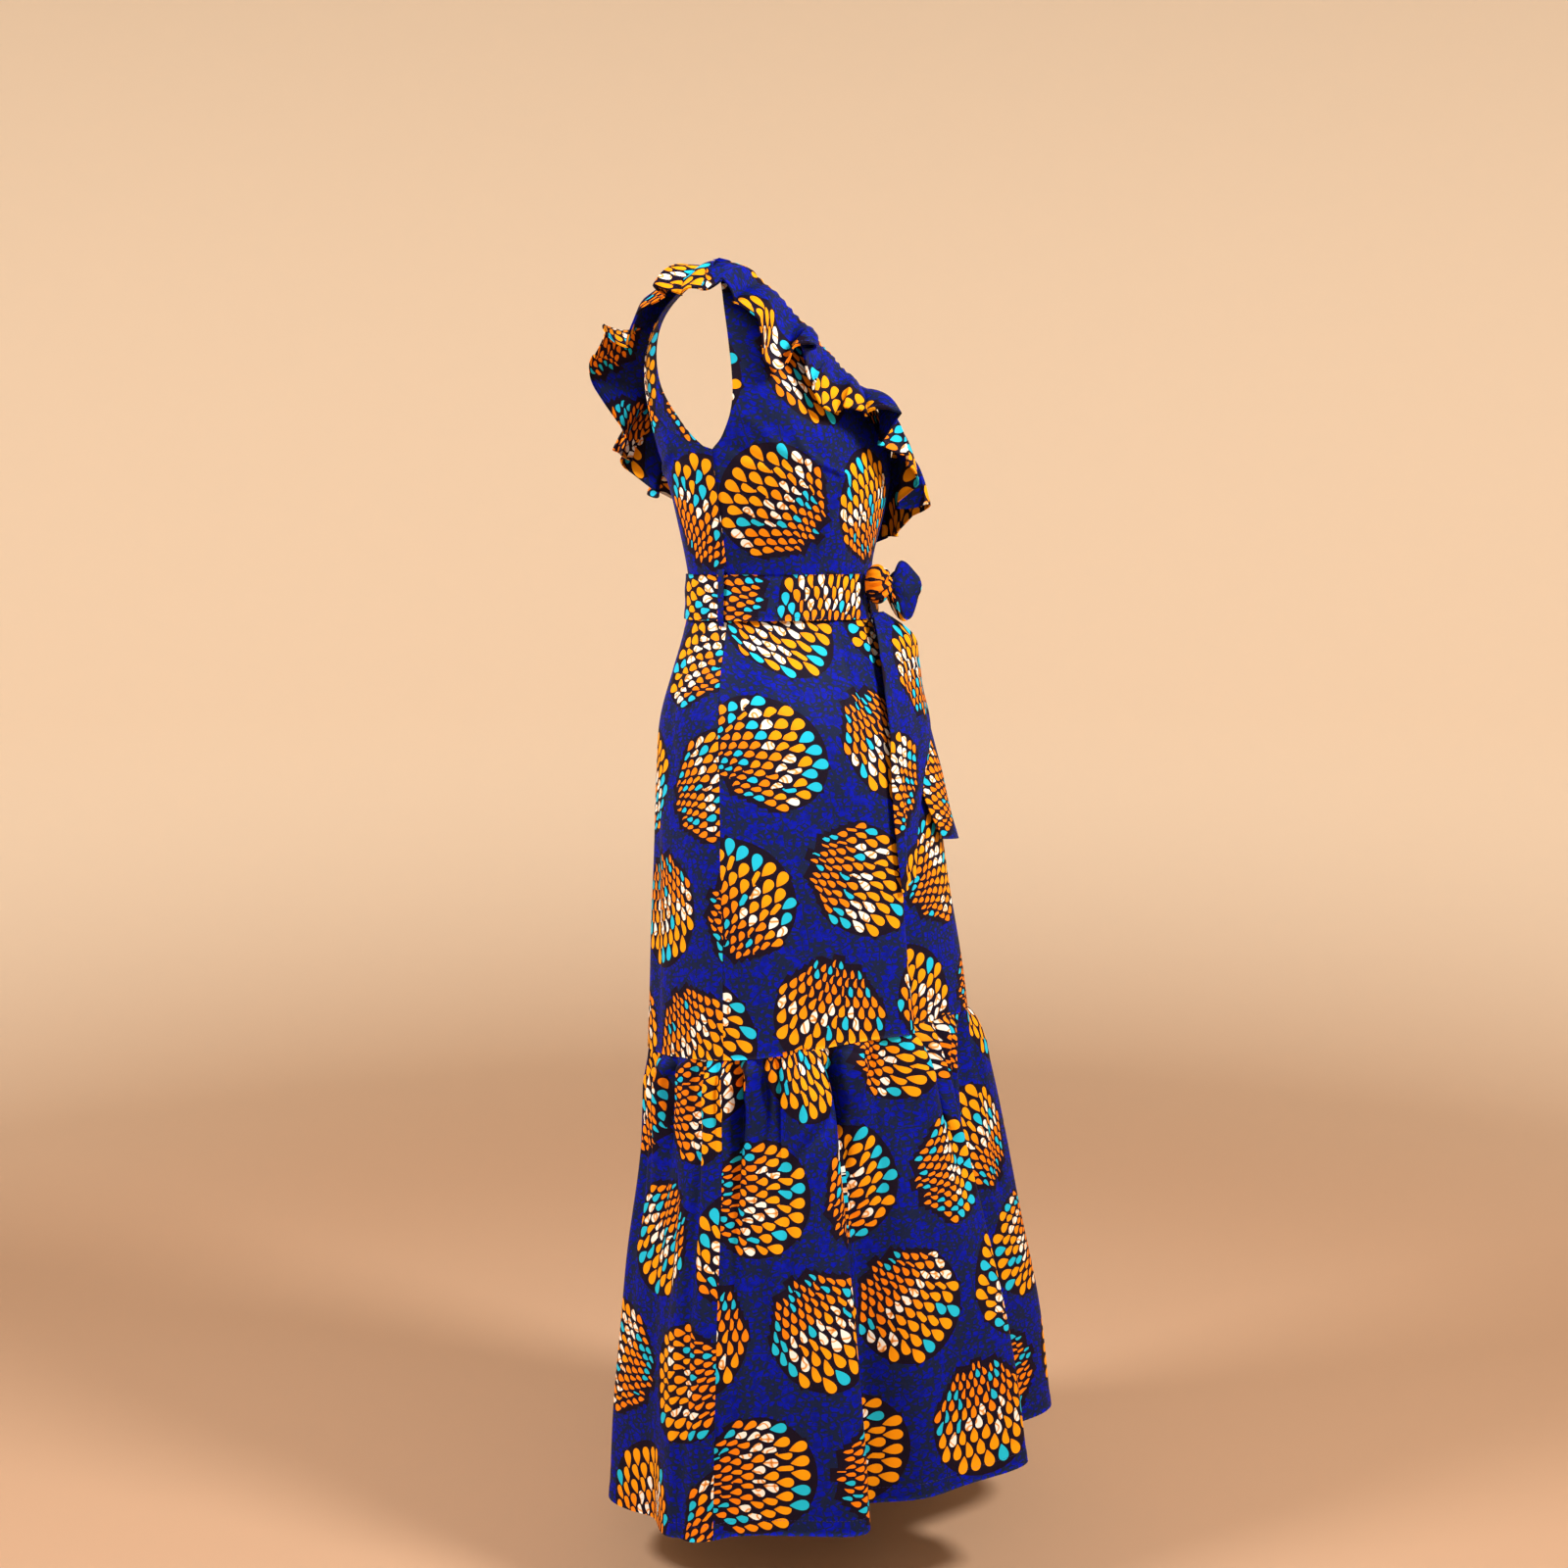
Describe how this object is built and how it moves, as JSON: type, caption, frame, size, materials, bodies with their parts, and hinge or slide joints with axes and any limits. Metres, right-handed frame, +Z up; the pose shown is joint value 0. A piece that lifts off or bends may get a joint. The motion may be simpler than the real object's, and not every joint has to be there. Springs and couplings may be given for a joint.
{
  "type": "maxi dress",
  "caption": "Long one-shoulder dress in printed cotton, with a ruffled neckline, a sash tied in a knot at the front of the waist and a gathered lower tier.",
  "frame": {"origin": "underside of the cloth where it rests on the wearer's right shoulder, on the shoulder seam", "axes": "+Z up, the wearer faces -Y, the wearer's left is +X"},
  "size_m": [0.6334, 0.5546, 1.4748],
  "materials": {
    "wax_print_cotton": "matt printed plain-weave cotton"
  },
  "bodies": {
    "root": {"bodice_front": "wax_print_cotton", "bodice_back": "wax_print_cotton", "ruffle_front": "wax_print_cotton", "ruffle_back": "wax_print_cotton", "skirt_front": "wax_print_cotton", "skirt_back": "wax_print_cotton", "tier_front": "wax_print_cotton", "tier_back": "wax_print_cotton", "sash_band": "wax_print_cotton", "sash_knot": "wax_print_cotton", "sash_loop_left": "wax_print_cotton", "sash_tail_right": "wax_print_cotton", "sash_tail_left": "wax_print_cotton", "belt_loop_right": "wax_print_cotton", "belt_loop_left": "wax_print_cotton"}
  },
  "joints": []
}
